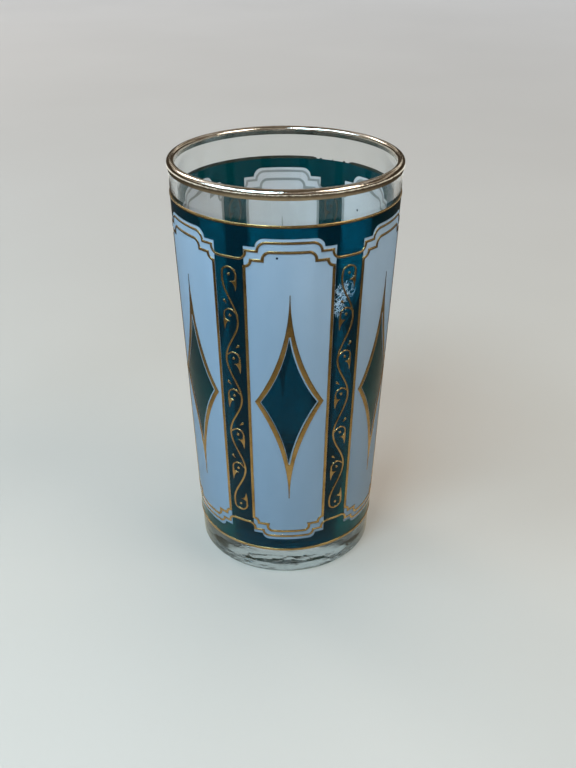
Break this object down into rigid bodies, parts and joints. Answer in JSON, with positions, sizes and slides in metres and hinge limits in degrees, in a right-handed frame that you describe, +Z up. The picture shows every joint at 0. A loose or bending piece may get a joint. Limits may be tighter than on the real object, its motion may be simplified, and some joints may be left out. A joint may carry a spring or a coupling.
{
  "type": "highball tumbler",
  "caption": "Tapered clear glass tumbler with a heavy base, enamelled with tall white panels, diamonds and teal columns under gold line work.",
  "frame": {"origin": "middle of the base on the resting plane", "axes": "+Z up along the glass's axis; the middle of the first white panel faces -Y"},
  "size_m": [0.0712, 0.0712, 0.1361],
  "materials": {
    "clear_glass": "clear pressed soda-lime glass, polished, lip fire-polished",
    "white_enamel": "translucent bluish-white fired glass enamel, satin",
    "teal_enamel": "transparent dark teal fired glass enamel, glossy",
    "gold": "fired gold line work, slightly raised, worn satin",
    "rim_gold": "bright gold leaf fired over the lip, polished"
  },
  "bodies": {
    "root": {"glass_body": "clear_glass", "rim_gilding": "rim_gold", "upper_gold_ring": "gold", "lower_gold_ring": "gold", "upper_scallop_line": "gold", "lower_scallop_line": "gold", "teal_enamel": "teal_enamel", "white_panel_1": "white_enamel", "white_panel_2": "white_enamel", "white_panel_3": "white_enamel", "white_panel_4": "white_enamel", "white_panel_5": "white_enamel", "white_panel_6": "white_enamel", "diamond_enamel_1": "teal_enamel", "diamond_enamel_2": "teal_enamel", "diamond_enamel_3": "teal_enamel", "diamond_enamel_4": "teal_enamel", "diamond_enamel_5": "teal_enamel", "diamond_enamel_6": "teal_enamel", "diamond_border_1": "gold", "diamond_border_2": "gold", "diamond_border_3": "gold", "diamond_border_4": "gold", "diamond_border_5": "gold", "diamond_border_6": "gold", "panel_outline_1": "gold", "panel_outline_2": "gold", "panel_outline_3": "gold", "panel_outline_4": "gold", "panel_outline_5": "gold", "panel_outline_6": "gold", "column_scroll_1": "gold", "column_scroll_2": "gold", "column_scroll_3": "gold", "column_scroll_4": "gold", "column_scroll_5": "gold", "column_scroll_6": "gold"}
  },
  "joints": []
}
